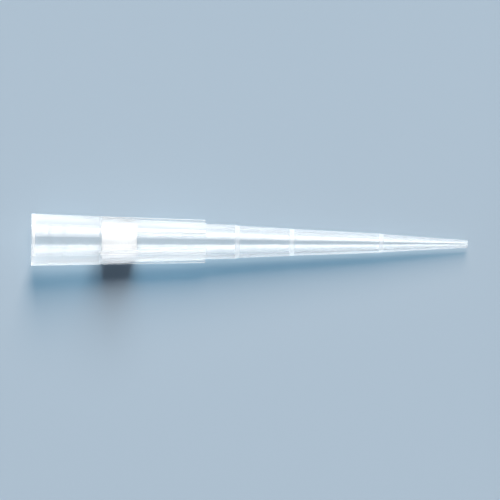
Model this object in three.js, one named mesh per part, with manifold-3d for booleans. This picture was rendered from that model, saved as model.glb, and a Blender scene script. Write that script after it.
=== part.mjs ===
// A filtered pipette tip, lying on its side. Millimetres, +Z up.
//
// Two pieces: the tip, moulded in one shot of clear polypropylene, and the porous plug pressed
// into it. The tip is a turned form with a bore right through it, and six fins stand on the
// barrel below the collar. Stations are distances along the axis from the mouth to the point.

import * as THREE from 'three';
import { mergeVertices } from 'three/addons/utils/BufferGeometryUtils.js';
import Module from 'manifold-3d';

// ---- Driving dimensions ----

// Lengths of the tip's sections, from the mouth on.
const COLLAR_LENGTH = 9.2; // the smooth wide end, round the socket for the pipette's nozzle
const FIN_LENGTH = 14.3;
const SHANK_LENGTH = 4.0; // from the fins to the upper volume mark
const UPPER_SECTION_LENGTH = 7.4; // from the upper mark to the middle one
const MIDDLE_SECTION_LENGTH = 12.1; // from the middle mark to the lower one
const POINT_SECTION_LENGTH = 12.0; // from the lower mark to the point

// The socket, its sealing beads, and the collar round it.
const SOCKET_DIAMETER = 6.04;
const COLLAR_WALL = 0.505; // at the mouth
const COLLAR_END_DIAMETER = 6.55;
const RIM_ROUND = 0.12;
const RIM_LAND = 0.22; // width of the flat face of the rim
const LEAD_IN_DEPTH = 0.5;
const BEAD_COUNT = 2;
const BEAD_STATION = 2.6;
const BEAD_SPACING = 1.8;
const BEAD_WIDTH = 0.5;
const BEAD_HEIGHT = 0.07;

// The barrel tapers from the collar to the point, and steps in at each volume mark.
const COLLAR_STEP = 0.295; // from the collar's surface down to the barrel's
const COLLAR_CHAMFER = 0.2; // length of the slope between them
const FIN_END_BARREL_DIAMETER = 4.78;
const UPPER_MARK_DIAMETER = 4.6;
const UPPER_MARK_STEP = 0.12;
const MIDDLE_MARK_DIAMETER = 3.72;
const MIDDLE_MARK_STEP = 0.05;
const LOWER_MARK_DIAMETER = 2.6;
const LOWER_MARK_STEP = 0.07;
const MARK_WIDTH = 0.5;
const BARREL_WALL = 0.52;
const ORIFICE_DIAMETER = 0.45;
const POINT_WALL = 0.265;

// The fins carry the collar's taper on down to a square end.
const FIN_COUNT = 6;
const FIN_END_HEIGHT = 0.51;
const FIN_THICKNESS = 0.5;
const FIN_SET_IN = 0.03; // below the collar's surface, where a fin starts
const FIN_ROOT = 0.2; // how far a fin is sunk into the walls that carry it

// The filter is a porous plug that follows the taper of its seat.
const FILTER_SETBACK = 0.2; // from the collar's end
const FILTER_LENGTH = 4.8;
const FILTER_CHAMFER = 0.12;
const FILTER_CLEARANCE = 0.03;

const SIDES = 72; // facets round the axis, a multiple of four, so that one corner points down

// ---- Shape of the barrel ----

// Radius on the straight line between two [station, radius] points.
function radiusBetween(start, end, station) {
  const share = (station - start[0]) / (end[0] - start[0]);
  return start[1] + share * (end[1] - start[1]);
}

const finEndStation = COLLAR_LENGTH + FIN_LENGTH;
const upperMarkStation = finEndStation + SHANK_LENGTH;
const middleMarkStation = upperMarkStation + UPPER_SECTION_LENGTH;
const lowerMarkStation = middleMarkStation + MIDDLE_SECTION_LENGTH;
const tipLength = lowerMarkStation + POINT_SECTION_LENGTH;

const mouthRadius = SOCKET_DIAMETER / 2 + COLLAR_WALL;
const collarEnd = [COLLAR_LENGTH, COLLAR_END_DIAMETER / 2];
const barrelTop = [COLLAR_LENGTH, collarEnd[1] - COLLAR_STEP];
const barrelFinEnd = [finEndStation, FIN_END_BARREL_DIAMETER / 2];
const finEnd = [finEndStation, barrelFinEnd[1] + FIN_END_HEIGHT];

function finnedBarrelRadius(station) {
  return radiusBetween(barrelTop, barrelFinEnd, station);
}

// Each mark is a short cone that steps in from the section above it to the one below.
function volumeMark(station, diameter, step) {
  return { top: [station, diameter / 2], bottom: [station + MARK_WIDTH, diameter / 2 - step] };
}

const marks = [
  volumeMark(upperMarkStation, UPPER_MARK_DIAMETER, UPPER_MARK_STEP),
  volumeMark(middleMarkStation, MIDDLE_MARK_DIAMETER, MIDDLE_MARK_STEP),
  volumeMark(lowerMarkStation, LOWER_MARK_DIAMETER, LOWER_MARK_STEP),
];

// Outside of the tip, from the rim to the edge of the point.
function outerProfile() {
  const roundStart = RIM_ROUND * (1 - Math.SQRT1_2);
  const chamferEnd = COLLAR_LENGTH + COLLAR_CHAMFER;
  return [
    [0, mouthRadius - RIM_ROUND],
    [roundStart, mouthRadius - roundStart],
    [RIM_ROUND, mouthRadius],
    collarEnd,
    [chamferEnd, finnedBarrelRadius(chamferEnd)],
    barrelFinEnd,
    ...marks.flatMap(({ top, bottom }) => [top, bottom]),
    [tipLength, ORIFICE_DIAMETER / 2 + POINT_WALL],
  ];
}

// ---- Shape of the bore ----

const filterStation = COLLAR_LENGTH + FILTER_SETBACK;
const socketTop = [LEAD_IN_DEPTH, SOCKET_DIAMETER / 2];
const seatTop = [filterStation, finnedBarrelRadius(filterStation) - BARREL_WALL];
const seatEnd = [finEndStation, barrelFinEnd[1] - BARREL_WALL];

// A sealing bead stands in from the socket's wall, with a flat crest a third of its width.
function beadProfile(station) {
  const wall = (offset) => radiusBetween(socketTop, seatTop, station + offset);
  return [
    [station - BEAD_WIDTH / 2, wall(-BEAD_WIDTH / 2)],
    [station - BEAD_WIDTH / 6, wall(-BEAD_WIDTH / 6) - BEAD_HEIGHT],
    [station + BEAD_WIDTH / 6, wall(BEAD_WIDTH / 6) - BEAD_HEIGHT],
    [station + BEAD_WIDTH / 2, wall(BEAD_WIDTH / 2)],
  ];
}

// Inside of the tip, from the mouth to the orifice.
function boreProfile() {
  const beads = Array.from({ length: BEAD_COUNT }, (_, bead) => BEAD_STATION + bead * BEAD_SPACING);
  const markSeats = marks.map(({ top, bottom }) => {
    const station = (top[0] + bottom[0]) / 2;
    return [station, (top[1] + bottom[1]) / 2 - BARREL_WALL];
  });
  return [
    [0, mouthRadius - RIM_ROUND - RIM_LAND],
    socketTop,
    ...beads.flatMap(beadProfile),
    seatTop,
    seatEnd,
    ...markSeats,
    [tipLength, ORIFICE_DIAMETER / 2],
  ];
}

// ---- Solids, with the axis along +X and the mouth at the origin ----

// Turns a profile of [station, radius] points round the axis. An outside runs towards the point.
function revolve(profile) {
  const points = profile.map(([station, radius]) => new THREE.Vector2(radius, station));
  return new THREE.LatheGeometry(points, SIDES).rotateZ(-Math.PI / 2);
}

function turnedTip() {
  const outside = outerProfile();
  return revolve([...outside, ...boreProfile().reverse(), outside[0]]);
}

// One fin: its outline in the plane of the axis, extruded to its thickness and turned into place.
function finGeometry(angle) {
  const start = COLLAR_LENGTH - FIN_ROOT;
  const finTop = [COLLAR_LENGTH, collarEnd[1] - FIN_SET_IN];
  const outline = new THREE.Shape([
    new THREE.Vector2(start, finnedBarrelRadius(start) - FIN_ROOT),
    new THREE.Vector2(finEndStation, barrelFinEnd[1] - FIN_ROOT),
    new THREE.Vector2(...finEnd),
    new THREE.Vector2(start, radiusBetween(finTop, finEnd, start)),
  ]);
  const geometry = new THREE.ExtrudeGeometry(outline, { depth: FIN_THICKNESS, bevelEnabled: false });
  return geometry.translate(0, 0, -FIN_THICKNESS / 2).rotateX(angle);
}

// The plug leaves its named clearance to the seat all along the taper.
function filterGeometry() {
  const end = filterStation + FILTER_LENGTH;
  const radius = (station) => radiusBetween(seatTop, seatEnd, station) - FILTER_CLEARANCE;
  return revolve([
    [filterStation, 0],
    [filterStation, radius(filterStation) - FILTER_CHAMFER],
    [filterStation + FILTER_CHAMFER, radius(filterStation + FILTER_CHAMFER)],
    [end - FILTER_CHAMFER, radius(end - FILTER_CHAMFER)],
    [end, radius(end) - FILTER_CHAMFER],
    [end, 0],
  ]);
}

// ---- Joining ----

const wasm = await Module();
wasm.setup();

function toManifold(geometry) {
  const bare = geometry.clone();
  bare.deleteAttribute('normal');
  bare.deleteAttribute('uv');
  const merged = mergeVertices(bare);
  return new wasm.Manifold(new wasm.Mesh({
    numProp: 3,
    vertProperties: new Float32Array(merged.attributes.position.array),
    triVerts: new Uint32Array(merged.index.array),
  }));
}

function toGeometry(manifold) {
  const mesh = manifold.getMesh();
  const geometry = new THREE.BufferGeometry();
  geometry.setAttribute('position', new THREE.BufferAttribute(mesh.vertProperties, mesh.numProp));
  geometry.setIndex(new THREE.BufferAttribute(mesh.triVerts, 1));
  geometry.computeVertexNormals();
  return geometry;
}

function tipGeometry() {
  let tip = toManifold(turnedTip());
  for (let fin = 0; fin < FIN_COUNT; fin += 1) {
    tip = tip.add(toManifold(finGeometry((fin * 2 * Math.PI) / FIN_COUNT)));
  }
  return toGeometry(tip);
}

// ---- Resting place ----

// The tip lies on its two lowest fins and on the collar's end or the rim, whichever calls for
// the steeper slope. Two fins stand to either side of straight down, so they hold it from
// rolling, and the point stays just off the surface.
function restingTilt() {
  const fromDown = Math.PI / FIN_COUNT;
  const finDrop = finEnd[1] * Math.cos(fromDown) + (FIN_THICKNESS / 2) * Math.sin(fromDown);
  const slopes = [[RIM_ROUND, mouthRadius], collarEnd].map(
    ([station, radius]) => (radius - finDrop) / (finEndStation - station),
  );
  return Math.atan(Math.max(...slopes));
}

// Tilts the tip, lowers it to the surface and centres its length on the origin.
function layDown(tip) {
  tip.rotation.y = restingTilt();
  const box = new THREE.Box3().setFromObject(tip, true);
  tip.position.set(-(box.min.x + box.max.x) / 2, 0, -box.min.z);
}

// ---- Materials and meshes ----

const polypropylene = new THREE.MeshStandardMaterial({
  color: 0xe9f2f6,
  roughness: 0.25,
  metalness: 0,
  transparent: true,
  opacity: 0.5,
});
const porousPolyethylene = new THREE.MeshStandardMaterial({
  color: 0xfafafa,
  roughness: 0.9,
  metalness: 0,
});

function part(name, geometry, material) {
  const mesh = new THREE.Mesh(geometry, material);
  mesh.name = name;
  return mesh;
}

const lyingTip = new THREE.Group();
lyingTip.add(part('tip_body', tipGeometry(), polypropylene));
lyingTip.add(part('filter_plug', filterGeometry(), porousPolyethylene));
layDown(lyingTip);

const pipetteTip = new THREE.Group();
pipetteTip.add(lyingTip);

export default pipetteTip;
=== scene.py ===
# %% [markdown]
# # A filtered pipette tip, lying on a bench
#
# The real object is two pieces. The tip is one moulding of natural polypropylene, as clear as
# frosted ice, and a white plug of sintered plastic beads is pressed into it below the collar.
# Everything the eye sees comes from light that bends and glances in the thin clear wall, so this
# script spends its effort on a smooth, closed wall of true thickness, and on the soft lamps that
# it mirrors on either side.
#
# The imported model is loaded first. It is the frame: the new surfaces take its place and stay in
# its box.

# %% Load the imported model
import math

import bmesh
import bpy
import numpy as np
from mathutils import Matrix, Vector


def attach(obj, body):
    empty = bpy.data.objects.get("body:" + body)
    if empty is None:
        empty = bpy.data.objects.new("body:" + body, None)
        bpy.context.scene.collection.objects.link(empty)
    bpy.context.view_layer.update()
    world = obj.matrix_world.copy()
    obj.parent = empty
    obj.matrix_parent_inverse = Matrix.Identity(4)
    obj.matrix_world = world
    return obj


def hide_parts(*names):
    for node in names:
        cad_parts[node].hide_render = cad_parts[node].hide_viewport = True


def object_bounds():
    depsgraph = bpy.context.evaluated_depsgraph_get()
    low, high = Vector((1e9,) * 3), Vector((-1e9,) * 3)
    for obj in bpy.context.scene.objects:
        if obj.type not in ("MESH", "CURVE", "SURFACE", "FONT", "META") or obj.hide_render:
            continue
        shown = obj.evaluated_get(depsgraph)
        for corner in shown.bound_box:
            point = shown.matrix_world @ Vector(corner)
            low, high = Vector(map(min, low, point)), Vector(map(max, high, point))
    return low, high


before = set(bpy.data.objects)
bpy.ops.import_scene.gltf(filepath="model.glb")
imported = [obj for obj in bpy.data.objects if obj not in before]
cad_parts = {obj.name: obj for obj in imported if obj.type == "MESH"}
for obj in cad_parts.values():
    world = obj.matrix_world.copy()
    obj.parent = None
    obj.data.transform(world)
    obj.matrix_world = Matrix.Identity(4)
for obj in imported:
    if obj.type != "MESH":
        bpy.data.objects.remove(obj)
cad_low, cad_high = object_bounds()
print("CAD box in mm:", [round(1000 * side, 2) for side in cad_high - cad_low])

# %% [markdown]
# ## Sizes of the tip
#
# The tip is round about one axis, so its shape is told by stations along that axis, measured from
# the mouth, and by a radius at each. All of them are in millimetres. Blender works in metres, so MM
# turns one into the other where the points go into a mesh.

# %% Stations and radii
MM = 0.001

COLLAR_END = 9.2
FIN_END = 23.5
UPPER_MARK = 27.5
MIDDLE_MARK = 34.9
LOWER_MARK = 47.0
POINT = 59.0
MARK_WIDTH = 0.5

MOUTH_RADIUS = 3.525
RIM_ROUND = 0.09
COLLAR_END_RADIUS = 3.275
BARREL_TOP_RADIUS = 3.12
BARREL_BEND = 15.4
BARREL_BEND_RADIUS = 2.724
BARREL_FIN_END_RADIUS = 2.39
COLLAR_CHAMFER = 0.2
# For each volume mark: the radius just above it and just below it.
MARK_RADII = {UPPER_MARK: (2.3, 2.18), MIDDLE_MARK: (1.86, 1.81), LOWER_MARK: (1.3, 1.23)}
POINT_RADIUS = 0.49

BARREL_WALL = 0.52
SEAT_TOP_RADIUS = 2.46
ORIFICE_RADIUS = 0.225
LEAD_IN_DEPTH = 0.5
LEAD_IN_RADIUS = 3.185
LEAD_IN_FROST = 0.2
SOCKET_RADIUS = 3.02
BEADS = (2.6, 4.4)
BEAD_WIDTH = 0.5
BEAD_HEIGHT = 0.07

FIN_COUNT = 6
FIN_THICKNESS = 0.5
FIN_TOP_RADIUS = 3.245
FIN_END_RADIUS = 2.9

FILTER_TOP = 9.4
FILTER_LENGTH = 4.8
FILTER_CLEARANCE = 0.03


def finned_barrel_radius(station):
    """Radius of the barrel between the fins: two straight tapers that meet below the filter."""
    stations = [COLLAR_END, BARREL_BEND, FIN_END]
    radii = [BARREL_TOP_RADIUS, BARREL_BEND_RADIUS, BARREL_FIN_END_RADIUS]
    return np.interp(station, stations, radii)


def seat_radius(station):
    """Radius of the bore round the filter and below it: one straight taper to the fins' end."""
    end_radius = BARREL_FIN_END_RADIUS - BARREL_WALL
    return np.interp(station, [COLLAR_END, FIN_END], [SEAT_TOP_RADIUS, end_radius])


print("Mouth to point:", POINT, "mm, and", 2 * MOUTH_RADIUS, "mm across the mouth")

# %% [markdown]
# ## Where the tip lies
#
# A tip on a bench rests on the end of its collar and on the ends of its two lowest fins, so it
# leans nose down by a few degrees. The lean follows from the sizes, and the place along X from the
# frame's box, which the round of the rim touches a little short of its full radius. One matrix then
# carries points from the tip's own axes into the frame.

# %% The tip's own axes in the frame
RIM_REACH = 0.9

fin_from_down = math.pi / FIN_COUNT
fin_drop = FIN_END_RADIUS * math.cos(fin_from_down) + FIN_THICKNESS / 2 * math.sin(fin_from_down)
lean = math.atan((COLLAR_END_RADIUS - fin_drop) / (FIN_END - COLLAR_END))
furthest_back = MOUTH_RADIUS - RIM_REACH * RIM_ROUND
mouth_x = cad_low.x / MM + furthest_back * math.sin(lean)
mouth_z = COLLAR_END * math.sin(lean) + COLLAR_END_RADIUS * math.cos(lean)
tip_axes = Matrix.Translation((mouth_x * MM, 0, mouth_z * MM)) @ Matrix.Rotation(lean, 4, "Y")
print("The tip leans", round(math.degrees(lean), 2), "degrees")


def to_frame(points_mm):
    """Points in millimetres on the tip's own axes, turned and moved into the frame in metres."""
    turn = np.array(tip_axes.to_3x3())
    return (points_mm * MM) @ turn.T + np.array(tip_axes.translation)


# %% [markdown]
# ## From a profile to a smooth one
#
# A mould leaves no knife edges: every corner of the real profile has a small round, and it is the
# round that catches a thread of light. A Bevel modifier could do it, but it would round every
# corner alike. So this helper takes the corners of a profile, with a round for each, and returns a
# dense line. Each corner becomes a short curve that starts and ends on the two sides of the corner.

# %% Rounding a profile
CORNER_STEPS = 6
SIDE_SHARE = 0.45


def rounded(corners):
    """Points along a line through (station, radius, round) corners.

    At a corner the line leaves its side at the distance round before the corner, and joins the
    next side at the same distance after it. Between the two, for t from 0 to 1, a point is
    (1 - t) squared x start + 2t(1 - t) x corner + t squared x end. No round takes more than
    SIDE_SHARE of a side, so that the rounds at its two ends never meet."""
    points = np.array([corner[:2] for corner in corners], float)
    line = [points[:1]]
    for before, here, after, corner in zip(points, points[1:], points[2:], corners[1:-1]):
        into = before - here
        out_of = after - here
        room = SIDE_SHARE * min(np.linalg.norm(into), np.linalg.norm(out_of))
        reach = min(corner[2], room)
        start = here + reach * into / np.linalg.norm(into)
        end = here + reach * out_of / np.linalg.norm(out_of)
        t = np.linspace(0, 1, CORNER_STEPS)[:, None]
        line.append((1 - t) ** 2 * start + 2 * t * (1 - t) * here + t**2 * end)
    line.append(points[-1:])
    return np.concatenate(line)


def with_rows(line, spacing):
    """The same line, with extra points so that none are further apart than spacing."""
    dense = [line[:1]]
    for here, after in zip(line, line[1:]):
        count = max(1, math.ceil(np.linalg.norm(after - here) / spacing))
        dense.append(here + (after - here) * (np.arange(1, count + 1) / count)[:, None])
    return np.concatenate(dense)


square_corner = rounded([(0, 0, 0), (1, 0, 0.1), (1, 1, 0)])
print("A rounded square corner is a line of", len(square_corner), "points")

# %% [markdown]
# ## The outside and the bore
#
# The outside steps in at the end of the collar and at each volume mark, and the barrel narrows
# faster round the filter than below it. The bore runs from a lead-in at the mouth, past two fine
# sealing beads, through the filter's seat and down to the orifice.

# %% Outside and bore as profiles
FINE_ROUND = 0.05
CHAMFER_ROUND = 0.13
BEND_ROUND = 1.5
MARK_ROUND = 0.12
LEAD_IN_ROUND = 0.15
BEAD_ROUND = 0.12
SEAT_ROUND = 0.3
BORE_ROUND = 0.5
ORIFICE_ROUND = 0.03
# A bead's section: a place in bead widths from its middle, and a share of its height.
BEAD_SECTION = ((-0.5, 0), (-0.2, 1), (0.2, 1), (0.5, 0))
# The outside and the bore meet on the rim's face, this far inside its edge, and half-way across the
# face of the point.
RIM_SEAM_INSET = 0.2
RIM_SEAM = MOUTH_RADIUS - RIM_SEAM_INSET
POINT_SEAM = (POINT_RADIUS + ORIFICE_RADIUS) / 2


def outside_profile():
    """The outside from the rim's face to the face of the point, as (station, radius) rows."""
    barrel_top = COLLAR_END + COLLAR_CHAMFER
    corners = [
        (0, RIM_SEAM, 0),
        (0, MOUTH_RADIUS, RIM_ROUND),
        (COLLAR_END, COLLAR_END_RADIUS, CHAMFER_ROUND),
        (barrel_top, finned_barrel_radius(barrel_top), CHAMFER_ROUND),
        (BARREL_BEND, BARREL_BEND_RADIUS, BEND_ROUND),
        (FIN_END, BARREL_FIN_END_RADIUS, FINE_ROUND),
    ]
    for station, (above, below) in MARK_RADII.items():
        corners += [(station, above, MARK_ROUND), (station + MARK_WIDTH, below, MARK_ROUND)]
    return rounded([*corners, (POINT, POINT_RADIUS, FINE_ROUND), (POINT, POINT_SEAM, 0)])


def bore_profile():
    """The bore from the face of the point to the rim's face, as (station, radius) rows."""
    seat_top = (FILTER_TOP, seat_radius(FILTER_TOP))

    def socket(station):
        return np.interp(station, [LEAD_IN_DEPTH, seat_top[0]], [SOCKET_RADIUS, seat_top[1]])

    corners = [
        (0, RIM_SEAM, 0),
        (0, LEAD_IN_RADIUS, FINE_ROUND),
        (LEAD_IN_DEPTH, SOCKET_RADIUS, LEAD_IN_ROUND),
    ]
    for bead in BEADS:
        for offset, height in BEAD_SECTION:
            station = bead + offset * BEAD_WIDTH
            corners.append((station, socket(station) - height * BEAD_HEIGHT, BEAD_ROUND))
    corners += [(*seat_top, SEAT_ROUND), (FIN_END, seat_radius(FIN_END), BORE_ROUND)]
    for station, (above, below) in MARK_RADII.items():
        corners.append((station + MARK_WIDTH / 2, (above + below) / 2 - BARREL_WALL, BORE_ROUND))
    corners += [(POINT, ORIFICE_RADIUS, ORIFICE_ROUND), (POINT, POINT_SEAM, 0)]
    return rounded(corners)[::-1]


print("The outside has", len(outside_profile()), "rows, and the bore", len(bore_profile()))

# %% [markdown]
# ## Six fins on a round barrel
#
# The fins and the barrel are one skin on the real moulding, and they have to be one skin here:
# two clear solids pushed into each other would show a false wall where they cross. So the outline
# of a section across the axis is worked out as one closed line. It follows the barrel between the
# fins, turns up each fin through a small root round, and goes over its top.
#
# Away from the fins the same points lie on a plain circle, and over the collar's chamfer they
# slide from the circle to the finned outline. Every section has the same number of points, so the
# whole skin is one grid.

# %% The section across the axis
VALLEY_STEPS = 14
ROUND_STEPS = 4
SIDE_STEPS = 6
CREST_STEPS = 4
ROOT_ROUND = 0.1
FIN_EDGE_ROUND = 0.07
LOWEST_FIN = 0.001
SECTOR = 2 * math.pi / FIN_COUNT
ROOT_ANGLE = math.asin((FIN_THICKNESS / 2 + ROOT_ROUND) / BARREL_TOP_RADIUS)


def half_fin(barrel, crest):
    """Across and up one half of a fin, from its root to the middle of its crest.

    barrel and crest are columns of radii, one row for each section. The root is an arc that
    touches the barrel and the fin's side, and the edge is a quarter circle. Neither is more than a
    third of the fin's height, so both shrink where the fin is low."""
    half = FIN_THICKNESS / 2
    room = np.maximum(crest - barrel, LOWEST_FIN) / 3
    root = np.minimum(ROOT_ROUND, room)
    edge = np.minimum(FIN_EDGE_ROUND, room)
    root_across = half + root
    root_up = np.sqrt((barrel + root) ** 2 - root_across**2)
    start = np.arctan2(root_up, root_across)
    turn = start * np.linspace(1, 0, ROUND_STEPS)
    corner = np.linspace(0, math.pi / 2, ROUND_STEPS)
    side = np.linspace(0, 1, SIDE_STEPS + 2)[1:-1]
    top = np.linspace(1, 0, CREST_STEPS + 1)[1:]
    across = [
        root_across - root * np.cos(turn),
        np.full((len(barrel), SIDE_STEPS), half),
        half - edge * (1 - np.cos(corner)),
        (half - edge) * top,
    ]
    up = [
        root_up - root * np.sin(turn),
        root_up + (crest - edge - root_up) * side,
        crest - edge * (1 - np.sin(corner)),
        crest + 0 * top,
    ]
    return np.concatenate(across, axis=1), np.concatenate(up, axis=1)


def sections(radius, crest, finned):
    """Angle and distance from the axis of every section's outline, one row for each section.

    A point is finned x (its place on the finned outline) + (1 - finned) x (its place on a plain
    circle), where the circle's points are spread evenly over the width of the fin's root."""
    radius, crest, finned = radius[:, None], crest[:, None], finned[:, None]
    base = np.where(finned > 0, radius, BARREL_FIN_END_RADIUS)
    across, up = half_fin(base, np.where(finned > 0, crest, BARREL_FIN_END_RADIUS))
    evenly = ROOT_ANGLE * np.linspace(1, 0, across.shape[1])
    angle = finned * np.arctan2(across, up) + (1 - finned) * evenly
    reach = finned * np.hypot(across, up) + (1 - finned) * crest
    valley = np.linspace(0, 1, VALLEY_STEPS + 2)[1:-1]
    valley_angle = angle[:, :1] + valley * (SECTOR - 2 * angle[:, :1])
    valley_reach = np.repeat(radius, VALLEY_STEPS, axis=1)
    sector_angle = np.concatenate([-angle[:, :-1], angle[:, ::-1], valley_angle], axis=1)
    sector_reach = np.concatenate([reach[:, :-1], reach[:, ::-1], valley_reach], axis=1)
    angles = np.concatenate([sector_angle + fin * SECTOR for fin in range(FIN_COUNT)], axis=1)
    return angles, np.tile(sector_reach, FIN_COUNT)


one_section = sections(np.array([BARREL_BEND_RADIUS]), np.array([FIN_TOP_RADIUS]), np.array([1.0]))
print("A section has", one_section[0].size, "points round it")

# %% [markdown]
# ## The skin
#
# The profile is closed: down the outside, round the lip of the point, up the bore and over the
# rim. Each of its rows is swept round the axis as one section, and the last row joins the first,
# so the mesh is watertight, as a clear solid must be for light to bend in it properly. A Screw
# modifier could sweep a round tip, but not one whose sections change from a circle to six fins.

# %% The rows of the skin
END_FACE = 0.004
ROW_SPACING = 0.8
CHAMFER_ROWS = 6
FROST_FADE = 0.05


def with_stations(line, stations):
    """The line with an extra row at each of these stations."""
    extra = np.column_stack([stations, np.interp(stations, line[:, 0], line[:, 1])])
    both = np.concatenate([line, extra])
    return both[np.argsort(both[:, 0], kind="stable")]


def fin_crest(station):
    """Radius of the fins' crest: straight, then over a quarter circle at the fins' end."""
    turn = np.linspace(0, math.pi / 2, ROUND_STEPS)
    stations = [COLLAR_END, *(FIN_END - FIN_EDGE_ROUND * (1 - np.sin(turn)))]
    radii = [FIN_TOP_RADIUS, *(FIN_END_RADIUS - FIN_EDGE_ROUND * (1 - np.cos(turn)))]
    return np.interp(station, stations, radii)


def skin_rows():
    """Five numbers for each row of the closed profile.

    They are its station, radius and fin crest, its share of fin, and if it is on the outside."""
    turn = np.linspace(0, math.pi / 2, ROUND_STEPS)
    fin_start = COLLAR_END + COLLAR_CHAMFER * np.linspace(0, 1, CHAMFER_ROWS)
    fin_edge = FIN_END - FIN_EDGE_ROUND * (1 - np.sin(turn))
    outside = with_rows(outside_profile(), ROW_SPACING)
    outside = with_stations(outside, [*fin_start, *fin_edge, FIN_END + END_FACE])
    bore = with_rows(bore_profile()[::-1], ROW_SPACING)
    bore = with_stations(bore, [LEAD_IN_FROST - FROST_FADE, LEAD_IN_FROST])[::-1]
    share = np.interp(
        outside[:, 0],
        [COLLAR_END, COLLAR_END + COLLAR_CHAMFER, FIN_END, FIN_END + END_FACE],
        [0, 1, 1, 0],
    )
    crest = np.where(share > 0, fin_crest(outside[:, 0]), outside[:, 1])
    line = np.concatenate([outside[:-1], bore[:-1]])
    return (
        line[:, 0],
        line[:, 1],
        np.concatenate([crest[:-1], bore[:-1, 1]]),
        np.concatenate([share[:-1], np.zeros(len(bore) - 1)]),
        np.arange(len(line)) < len(outside) - 1,
    )


stations, radii, crests, shares, is_outside = skin_rows()
angles, reaches = sections(radii, crests, shares)
print("The skin has", angles.shape[0], "rows of", angles.shape[1], "points")

# %% [markdown]
# ### From points to an object
#
# A grid of points becomes quads, and the quads become a mesh. Faces list their corners so that they
# point outwards, and a positive volume proves it. Edges sharper than an angle keep their crease,
# and all others are shaded smooth. The filter further on is made in the same way.

# %% Grids, meshes and places


def closed_grid(rows, columns, wrap_rows=True):
    """Corner numbers of the quads of a grid whose columns join up, and its rows too if asked."""
    last_row = rows if wrap_rows else rows - 1
    row, column = np.meshgrid(np.arange(last_row), np.arange(columns), indexing="ij")
    next_row, next_column = (row + 1) % rows, (column + 1) % columns
    quads = [row * columns + column, row * columns + next_column]
    quads += [next_row * columns + next_column, next_row * columns + column]
    return np.stack([quad.ravel() for quad in quads], axis=1).tolist()


def mesh_object(name, points, faces, sharp_degrees):
    """A smooth-shaded object with these points, in metres, and sharp edges over an angle."""
    mesh = bpy.data.meshes.new(name)
    mesh.from_pydata(points.tolist(), [], faces)
    mesh.shade_smooth()
    mesh.set_sharp_from_angle(angle=math.radians(sharp_degrees))
    made = bpy.data.objects.new(name, mesh)
    bpy.context.collection.objects.link(made)
    solid = bmesh.new()
    solid.from_mesh(mesh)
    volume = solid.calc_volume(signed=True) / MM**3
    solid.free()
    print(name, "has", len(mesh.polygons), "faces round", round(volume, 1), "cubic mm")
    return made


def on_axis(station, angle, reach):
    """Points in the frame for places given as station, angle from +Y towards +Z, and distance."""
    across, up = reach * np.cos(angle), reach * np.sin(angle)
    return to_frame(np.stack([station + 0 * reach, across, up], axis=-1).reshape(-1, 3))


skin_points = on_axis(stations[:, None], angles, reaches)
tip = mesh_object("tip", skin_points, closed_grid(*angles.shape), sharp_degrees=40)

# %% [markdown]
# ## Where the wall is frosted, milky or dark
#
# The wall isn't equally clear all over. A number on every point of the skin says how it is there,
# and the material reads it. It belongs to the surface, so it can't slide.
#
# - frost and glow: the volume marks are cut into the mould with a fine grain, so on the tip they
#   are white bands. The lead-in is grained too. A fin is dull white at its edge and at its foot,
#   with a clear line between them. The white edge is a painted highlight, for the glow that light
#   carried through the clear fin gives its rim.
# - milk: the wide end of the moulding cools slowly, which makes it milkier than the slim nose.
# - shade: a real wall bends a lamp's light aside, which leaves a blue-grey shadow. The lamps here
#   shine straight through, so the wall takes light from them instead, most of it on the side that
#   is turned away from the key lamp. The filter throws a shadow of its own, so nothing is taken
#   round it.

# %% Frost, milk and shade on the skin
MARK_FROST = 0.28
MARK_FADE = 0.1
# Frost at four depths below a fin's crest, in millimetres: dull edge, clear line, dull foot.
# The dull white edge is a painted highlight, for the glow of light carried through the fin.
FIN_DEPTHS = [0.07, 0.12, 0.22, 0.3]
FIN_GLOW_FROST = [0.55, 0, 0, 0.4]
COLLAR_MILK = 0.85
POINT_MILK = 0.65
MILK_FADE = 3.0
# Shade at six places round the axis, in degrees from +Y towards +Z. The key lamp shines from +Y.
SHADE_DEGREES = [0, 160, 195, 228, 345, 360]
SHADE_SHARES = [0, 0, 0.95, 0.1, 0.2, 0]
COLLAR_SHADE = 0.82
COLLAR_SHADE_FADE = 2.0
FILTER_SHADE_GAP = 0.5
FILTER_SHADE_FADE = 0.4


def band(station, start, end, fade):
    """1 between start and end, and falling to 0 over the distance fade on either side."""
    return np.clip(1 + np.minimum(station - start, end - station) / fade, 0, 1)


def on_skin(name, value):
    """Keeps a number on every point of the tip, for the material to read."""
    everywhere = np.broadcast_to(value, angles.shape).ravel()
    tip.data.attributes.new(name, "FLOAT", "POINT").data.foreach_set("value", everywhere)


marked = sum(band(stations, mark, mark + MARK_WIDTH, MARK_FADE) for mark in MARK_RADII) * is_outside
lead_in = band(stations, LEAD_IN_FROST, LEAD_IN_DEPTH, FROST_FADE) * (1 - is_outside)
grained = np.maximum(MARK_FROST * marked, lead_in)[:, None]
below_crest = crests[:, None] - reaches
on_fin = np.clip((reaches - radii[:, None]) / FROST_FADE, 0, 1) * (shares * is_outside)[:, None]
# On the fins this number is a painted highlight: their dull white edge stands in for glow, not
# grain.
frost_and_glow = np.maximum(grained, on_fin * np.interp(below_crest, FIN_DEPTHS, FIN_GLOW_FROST))
on_skin("frost_and_glow", frost_and_glow)

milk_stations = [FIN_END - MILK_FADE, FIN_END + MILK_FADE]
on_skin("milk", np.interp(stations, milk_stations, [COLLAR_MILK, POINT_MILK])[:, None])

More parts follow.
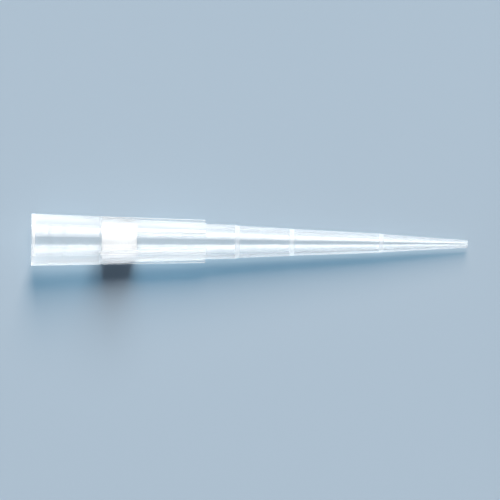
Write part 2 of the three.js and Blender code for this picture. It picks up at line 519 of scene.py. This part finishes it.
away_from_key = np.interp(np.degrees(angles) % 360, SHADE_DEGREES, SHADE_SHARES)
filter_middle = FILTER_TOP + FILTER_LENGTH / 2
past_filter = abs(stations - filter_middle) - FILTER_LENGTH / 2
off_filter = np.clip((past_filter + FILTER_SHADE_GAP) / FILTER_SHADE_FADE, 0, 1)
collar = np.interp(stations, [COLLAR_END - COLLAR_SHADE_FADE, COLLAR_END], [COLLAR_SHADE, 1])
on_skin("shade", away_from_key * (off_filter * collar)[:, None])
print("Frosted points on the skin:", int(np.count_nonzero(frost_and_glow)))

# %% [markdown]
# ## The filter
#
# Sintered plastic is made of fine beads, melted together where they touch. Its surface is a field
# of bead tops with pits between them. Bump in the material would be lost in the exported mesh, so
# the pits are real: every point of a plain plug moves inwards by its distance from the nearest
# bead's middle, with one bead at random in each cell of a lattice. Real beads are finer than GRAIN,
# which is as coarse as it needs to be to show.

# %% A sintered plug
FILTER_COLUMNS = 220
FILTER_ROW_SPACING = 0.07
FILTER_ROUND = 0.12
FILTER_MIDDLE_RADIUS = 0.02
GRAIN = 0.2
BEAD_TOP = 0.25
PIT_DEPTH = 0.05
BEAD_SEED = 7
TABLE_SIDE = 16


def bead_field(points, cell):
    """Distance from each point to the nearest bead, in cells, with one bead in every cell.

    The beads' places are random numbers from a small repeating table, so they never change."""
    table = np.random.default_rng(BEAD_SEED).random((TABLE_SIDE, TABLE_SIDE, TABLE_SIDE, 3))
    scaled = points / cell
    corner = np.floor(scaled).astype(int)
    nearest = np.full(len(points), np.inf)
    steps = (-1, 0, 1)
    for step in np.array(np.meshgrid(steps, steps, steps)).reshape(3, -1).T:
        near = corner + step
        bead = near + table[tuple((near % TABLE_SIDE).T)]
        nearest = np.minimum(nearest, np.linalg.norm(scaled - bead, axis=1))
    return nearest


def filter_mesh():
    """The plug's side and ends as one grid whose first and last rows close at the axis.

    A point goes towards the plug's middle by PIT_DEPTH x (its distance from a bead - BEAD_TOP),
    so the tops of the beads stay where they are and the pits lie between them."""
    end = FILTER_TOP + FILTER_LENGTH
    top_radius, end_radius = seat_radius([FILTER_TOP, end]) - FILTER_CLEARANCE
    corners = [
        (FILTER_TOP, FILTER_MIDDLE_RADIUS, 0),
        (FILTER_TOP, top_radius, FILTER_ROUND),
        (end, end_radius, FILTER_ROUND),
        (end, FILTER_MIDDLE_RADIUS, 0),
    ]
    line = with_rows(rounded(corners), FILTER_ROW_SPACING)
    angle = np.linspace(0, 2 * math.pi, FILTER_COLUMNS, endpoint=False)[None, :]
    reach = np.repeat(line[:, 1:], FILTER_COLUMNS, axis=1)
    station = np.repeat(line[:, :1], FILTER_COLUMNS, axis=1)
    flat = np.stack([station, reach * np.cos(angle), reach * np.sin(angle)], axis=-1).reshape(-1, 3)
    middle = np.array([filter_middle, 0, 0])
    inwards = (middle - flat) / np.linalg.norm(middle - flat, axis=1)[:, None]
    pit = np.clip(bead_field(flat, GRAIN) - BEAD_TOP, 0, 1) * PIT_DEPTH
    points = flat + inwards * pit[:, None]
    caps = [points[:FILTER_COLUMNS].mean(axis=0), points[-FILTER_COLUMNS:].mean(axis=0)]
    column = np.arange(FILTER_COLUMNS)
    after = (column + 1) % FILTER_COLUMNS
    last_row = len(points) - FILTER_COLUMNS
    top_cap = np.stack([0 * column + len(points), after, column], axis=1)
    end_cap = np.stack([0 * column + len(points) + 1, last_row + column, last_row + after], axis=1)
    faces = closed_grid(len(line), FILTER_COLUMNS, wrap_rows=False)
    faces += np.stack([top_cap, end_cap], axis=1).reshape(-1, 3).tolist()
    return to_frame(np.concatenate([points, caps])), faces


plug = mesh_object("filter", *filter_mesh(), sharp_degrees=180)

# %% [markdown]
# ## Materials
#
# Two small helpers serve every material: one turns a written sRGB colour into the linear numbers
# that Blender's sockets want, and one adds a node with its settings and its links.

# %% Colours and nodes


def linear(hex_colour):
    """The linear red, green, blue and alpha of an sRGB colour written as six hex digits.

    A dark value is divided by 12.92. Any other is ((value + 0.055) / 1.055) to the power of 2.4."""
    srgb = np.array([int(hex_colour[place : place + 2], 16) for place in (0, 2, 4)]) / 255
    low = srgb / 12.92
    high = ((srgb + 0.055) / 1.055) ** 2.4
    return (*np.where(srgb <= 0.04045, low, high).tolist(), 1.0)


def add_node(tree, kind, settings=None, **inputs):
    """A node with these settings. An input is a value, or an output of another node to link.

    Inputs go by name, with _ for a space, or by number, as i0, i1 and so on."""
    node = tree.nodes.new(kind)
    for name, value in (settings or {}).items():
        setattr(node, name, value)
    for name, value in inputs.items():
        socket = node.inputs[int(name[1:]) if name[1:].isdigit() else name.replace("_", " ")]
        if isinstance(value, bpy.types.NodeSocket):
            tree.links.new(value, socket)
        else:
            socket.default_value = value
    return node


def new_material(name):
    """An empty node material and its output node."""
    material = bpy.data.materials.new(name)
    material.use_nodes = True
    tree = material.node_tree
    tree.nodes.clear()
    return material, tree, tree.nodes.new("ShaderNodeOutputMaterial")


def finished(material, tree, output, shader):
    """The material, with this shader node as its surface."""
    tree.links.new(shader.outputs[0], output.inputs["Surface"])
    print("Material", material.name, "has", len(tree.nodes), "nodes")
    return material


print("Half-way grey in linear light:", round(linear("808080")[0], 3))

# %% [markdown]
# ### Natural polypropylene, moulded
#
# Polypropylene without any pigment is clear but milky, because it is made of fine crystals. A
# polished mould gives it a glossy skin, so most light goes through and bends, and each face mirrors
# the lamps. Some of it scatters: haze is what comes back to the eye as white, and milk is what goes
# on through as white. Both grow where the wall is seen at a slant, because the eye then looks
# through more of it, and the frosted places are whiter and rougher. On the fins' edges the same
# whiteness is a painted highlight, for the glow of light carried through the clear fin.

# %% Clear polypropylene
# Natural homopolymer, moulded in a polished mould: glassy, with a white bloom at its edges.
HAZE_FACING = 0.1
HAZE_GLANCING = 0.37
FROST_AND_GLOW_HAZE = 0.8
MILK_FACING = 0.11
MILK_GLANCING = 0.39
POLISHED_ROUGHNESS = 0.08
FROSTED_ROUGHNESS = 0.16
POLYPROPYLENE_IOR = 1.49
CRYSTAL_WHITE = "F8FAFB"
CLEAR = "FFFFFF"
SHADE = "59ABC3"


def let_lamps_through(tree, shader, colour):
    """The shader for every ray but those that look for a lamp, which pass and take this colour.

    Light that bends in a clear wall would take the renderer too long to find, and without this the
    tip would throw a shadow as black as metal's."""
    rays = add_node(tree, "ShaderNodeLightPath")
    through = add_node(tree, "ShaderNodeBsdfTransparent", None, Color=colour)
    return add_node(
        tree, "ShaderNodeMixShader", None,
        i0=rays.outputs["Is Shadow Ray"], i1=shader.outputs[0], i2=through.outputs[0],
    )


def natural_polypropylene():
    """The wall: clear with haze, part of it milk, and open to the light of the lamps.

    slant is 1 - the cosine of the angle at which the eye meets the wall. Haze goes from HAZE_FACING
    to HAZE_GLANCING with slant, x milk, and on from there to FROST_AND_GLOW_HAZE with frost and
    glow: grained on the marks and the lead-in, a painted highlight on the fins' edges. The share of
    milk goes from MILK_FACING to MILK_GLANCING with slant, x milk."""
    material, tree, output = new_material("natural_polypropylene_moulded")
    frost_and_glow, milk, shade = (
        add_node(tree, "ShaderNodeAttribute", {"attribute_name": name}).outputs["Fac"]
        for name in ("frost_and_glow", "milk", "shade")
    )
    slant = add_node(tree, "ShaderNodeLayerWeight", None, Blend=0.5).outputs["Facing"]

    slanted_haze = add_node(
        tree, "ShaderNodeMapRange", None,
        Value=slant, To_Min=HAZE_FACING, To_Max=HAZE_GLANCING,
    )
    clear_haze = add_node(
        tree, "ShaderNodeMath", {"operation": "MULTIPLY"},
        i0=slanted_haze.outputs[0], i1=milk,
    )
    # Frost whitens the marks and the lead-in. On the fins' edges the same whitening is a painted
    # highlight.
    haze = add_node(
        tree, "ShaderNodeMapRange", None,
        Value=frost_and_glow, To_Min=clear_haze.outputs[0], To_Max=FROST_AND_GLOW_HAZE,
    )
    clearness = add_node(
        tree, "ShaderNodeMapRange", None,
        Value=haze.outputs[0], To_Min=1, To_Max=0,
    )
    roughness = add_node(
        tree, "ShaderNodeMapRange", None,
        Value=frost_and_glow, To_Min=POLISHED_ROUGHNESS, To_Max=FROSTED_ROUGHNESS,
    )
    wall = add_node(
        tree, "ShaderNodeBsdfPrincipled", None,
        Base_Color=linear(CRYSTAL_WHITE),
        Roughness=roughness.outputs[0],
        IOR=POLYPROPYLENE_IOR,
        Transmission_Weight=clearness.outputs[0],
    )
    slanted_milk = add_node(
        tree, "ShaderNodeMapRange", None,
        Value=slant, To_Min=MILK_FACING, To_Max=MILK_GLANCING,
    )
    milk_share = add_node(
        tree, "ShaderNodeMath", {"operation": "MULTIPLY"},
        i0=slanted_milk.outputs[0], i1=milk,
    )
    scattered = add_node(tree, "ShaderNodeBsdfTranslucent", None, Color=linear(CRYSTAL_WHITE))
    milky_wall = add_node(
        tree, "ShaderNodeMixShader", None,
        i0=milk_share.outputs[0], i1=wall.outputs[0], i2=scattered.outputs[0],
    )
    tint = add_node(
        tree, "ShaderNodeMix", {"data_type": "RGBA"},
        i0=shade, i6=linear(CLEAR), i7=linear(SHADE),
    )
    return finished(material, tree, output, let_lamps_through(tree, milky_wall, tint.outputs[2]))


tip.data.materials.append(natural_polypropylene())

# %% [markdown]
# ### Porous polyethylene, sintered
#
# Every bead scatters light in all directions, so the plug is the whitest and dullest thing here.
# Light also seeps through it from bead to bead, which softens the pits and carries light round to
# the side that the lamps don't reach.

# %% White sintered plastic
# High-density polyethylene powder, sintered in a mould: chalk white, with no shine.
BEAD_WHITE = "FEFEFD"
BEAD_ROUGHNESS = 0.9
POLYETHYLENE_IOR = 1.5
SEEP = 3 * MM


def porous_polyethylene():
    """The plug: a rough white solid that light seeps through."""
    material, tree, output = new_material("porous_polyethylene_sintered")
    beads = add_node(
        tree, "ShaderNodeBsdfPrincipled", None,
        Base_Color=linear(BEAD_WHITE),
        Roughness=BEAD_ROUGHNESS,
        IOR=POLYETHYLENE_IOR,
        Subsurface_Weight=1.0,
        Subsurface_Radius=(1.0, 1.0, 1.0),
        Subsurface_Scale=SEEP,
    )
    return finished(material, tree, output, beads)


plug.data.materials.append(porous_polyethylene())

# %% [markdown]
# ## Riding on the frame
#
# Each new surface takes the place of the solid it stands for.

# %% Tie the pieces to the frame
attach(tip, "root")
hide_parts("tip_body")
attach(plug, "root")
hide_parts("filter_plug")
print("Pieces on the frame:", tip.name, "and", plug.name)

# %% [markdown]
# ## The paper
#
# The tip lies on a sheet of pale blue-grey paper. Uncoated paper has hardly any gloss. Here it has
# none, because a sheen would mirror the lamps into the shadow and fill it with light.

# %% The paper
# Wood-free paper, pressed but not coated: dull and even from every side.
FLOOR_SIZE = 3.0
PAPER_BLUE = "BCCEDC"
PAPER_ROUGHNESS = 0.85


def pale_paper():
    """The sheet: one dull colour."""
    material, tree, output = new_material("uncoated_paper")
    sheet = add_node(
        tree, "ShaderNodeBsdfPrincipled", None,
        Base_Color=linear(PAPER_BLUE),
        Roughness=PAPER_ROUGHNESS,
        Specular_IOR_Level=0.0,
    )
    return finished(material, tree, output, sheet)


half_floor = FLOOR_SIZE / 2
floor_corners = np.array([[-1, -1, 0], [1, -1, 0], [1, 1, 0], [-1, 1, 0]]) * half_floor
floor = mesh_object("floor", floor_corners, [[0, 1, 2, 3]], sharp_degrees=180)
floor.data.materials.append(pale_paper())

# %% [markdown]
# ## Lamps
#
# Clear things are drawn by what they mirror and bend, and the shadow by what lights the paper. Here
# the two jobs are split, so that each can be set without spoiling the other.
#
# - The key lamp and the low card light the paper, the filter and the milk in the wall, and no
#   surface mirrors them. The key lamp makes the shadow. The card is a narrow bright strip just over
#   the paper on the other side, which fills the tip's shaded flank and hardly touches the paper. It
#   is hidden behind the clear wall as well, because it would dazzle an eye down at its level.
# - The other three are only mirrored, or seen through the wall. Two are long soft boxes beside the
#   tip, one on either side, and a short one stands higher on the near side. The gap over the tip
#   between them leaves the quiet dark line down its middle.
#
# All of them are far away, so that the paper is lit evenly.

# %% The lamps
LAMP_DISTANCE = 6.0
NOSE_WARD = math.radians(6)
WHITE = "FFFFFF"
GREY_CARD = "E8EAEE"
WARM = "FFFAF4"


def soft_box(name, nearest, furthest, length, radiance, mirrored, colour, seen_through=True):
    """A flat lamp beside the tip, between two angles from vertical in degrees, +Y side positive.

    Its length is in lamp distances, and its middle stands towards the nose, because the tip leans
    that way and mirrors what is there. It is either mirrored or lights dull surfaces, never both,
    and it may be hidden from an eye that looks through the wall. A flat lamp gives off
    power = radiance x pi x area."""
    middle = math.radians(nearest + furthest) / 2
    light = bpy.data.lights.new(name, "AREA")
    light.shape = "RECTANGLE"
    light.size = LAMP_DISTANCE * length
    light.size_y = 2 * LAMP_DISTANCE * math.tan(math.radians(abs(furthest - nearest)) / 2)
    light.energy = radiance * math.pi * light.size * light.size_y
    light.color = linear(colour)[:3]
    lamp = bpy.data.objects.new(name, light)
    bpy.context.collection.objects.link(lamp)
    lamp.location = (math.tan(NOSE_WARD), math.sin(middle), math.cos(middle))
    lamp.location *= LAMP_DISTANCE
    lamp.rotation_euler.x = -middle
    lamp.visible_camera = False
    lamp.visible_glossy = mirrored
    lamp.visible_diffuse = not mirrored
    lamp.visible_transmission = seen_through
    print("Lamp", name, "is", round(light.size, 1), "by", round(light.size_y, 1), "m")


soft_box(
    "key", nearest=36, furthest=76, length=0.48, radiance=14.8,
    mirrored=False, colour=WHITE,
)
soft_box(
    "card", nearest=-88, furthest=-89.9, length=1.6, radiance=106.0,
    mirrored=False, colour=GREY_CARD, seen_through=False,
)
soft_box(
    "near_side", nearest=18, furthest=85, length=4.0, radiance=1.3,
    mirrored=True, colour=WARM,
)
soft_box(
    "near_top", nearest=18, furthest=40, length=0.38, radiance=1.5,
    mirrored=True, colour=WARM,
)
soft_box(
    "far_side", nearest=-18.5, furthest=-80, length=4.0, radiance=3.2,
    mirrored=True, colour=WARM,
)

# %% [markdown]
# ## The room
#
# What is seen straight, mirrored or through the clear wall is a pale room, at full strength. Light
# that has already met a dull surface finds only a faint blue fill, so the room can't wash out the
# shadow.

# %% The room
ROOM_BLUE = "C3D2DE"
FILL_BLUE = "98C8FF"
FILL_STRENGTH = 0.06
# Diffuse Depth counts the dull surfaces that a ray has met. Under a half means none.
NONE_MET = 0.5

world = bpy.data.worlds.new("pale_room")
bpy.context.scene.world = world
world.use_nodes = True
room = world.node_tree
room.nodes.clear()
seen = add_node(room, "ShaderNodeBackground", None, Color=linear(ROOM_BLUE), Strength=1.0)
fill = add_node(room, "ShaderNodeBackground", None, Color=linear(FILL_BLUE), Strength=FILL_STRENGTH)
rays = add_node(room, "ShaderNodeLightPath").outputs
straight_or_mirrored = add_node(
    room, "ShaderNodeMath", {"operation": "ADD", "use_clamp": True},
    i0=rays["Is Camera Ray"], i1=rays["Is Glossy Ray"],
)
any_sight = add_node(
    room, "ShaderNodeMath", {"operation": "ADD", "use_clamp": True},
    i0=straight_or_mirrored.outputs[0], i1=rays["Is Transmission Ray"],
)
nothing_dull_yet = add_node(
    room, "ShaderNodeMath", {"operation": "LESS_THAN"},
    i0=rays["Diffuse Depth"], i1=NONE_MET,
)
first_sight = add_node(
    room, "ShaderNodeMath", {"operation": "MULTIPLY"},
    i0=any_sight.outputs[0], i1=nothing_dull_yet.outputs[0],
)
mixed = add_node(
    room, "ShaderNodeMixShader", None,
    i0=first_sight.outputs[0], i1=fill.outputs[0], i2=seen.outputs[0],
)
add_node(room, "ShaderNodeOutputWorld", None, Surface=mixed.outputs[0])
print("The room has", len(room.nodes), "nodes")

# %% [markdown]
# ## Camera and picture
#
# The camera looks almost straight down through a long lens, with a slight tilt and roll. The clear
# wall needs many bounces, because a ray crosses eight or more surfaces on its way through the tip.

# %% The camera
# The lens and the sensor are in millimetres, and the other lengths in metres.
LENS = 350
SENSOR = 36
VIEW_WIDTH = 0.0674
TILT = math.radians(2.5)
ROLL = math.radians(0.675)
OFF_CENTRE = (0.0001, -0.00105)
NEAREST_SEEN = 0.01
FURTHEST_SEEN = 10

lens = bpy.data.cameras.new("camera")
lens.lens = LENS
lens.sensor_width = SENSOR
lens.clip_start = NEAREST_SEEN
lens.clip_end = FURTHEST_SEEN
camera = bpy.data.objects.new("camera", lens)
bpy.context.collection.objects.link(camera)
turn = Matrix.Rotation(-TILT, 3, "X") @ Matrix.Rotation(ROLL, 3, "Z")
target = Vector((0, 0, (cad_high.z - cad_low.z) / 2)) + turn @ Vector((*OFF_CENTRE, 0))
camera.rotation_euler = turn.to_euler()
camera.location = target + turn @ Vector((0, 0, VIEW_WIDTH * LENS / SENSOR))
bpy.context.scene.camera = camera
print("The camera stands", round(camera.location.z, 3), "m over the paper")

# %% The picture
WALL_BOUNCES = 32
GLOSS_BOUNCES = 16

scene = bpy.context.scene
scene.view_settings.view_transform = "Standard"
scene.cycles.max_bounces = WALL_BOUNCES
scene.cycles.transmission_bounces = WALL_BOUNCES
scene.cycles.glossy_bounces = GLOSS_BOUNCES
scene.cycles.transparent_max_bounces = WALL_BOUNCES
scene.cycles.caustics_reflective = False
scene.cycles.caustics_refractive = False
print("A ray may meet", scene.cycles.max_bounces, "surfaces")
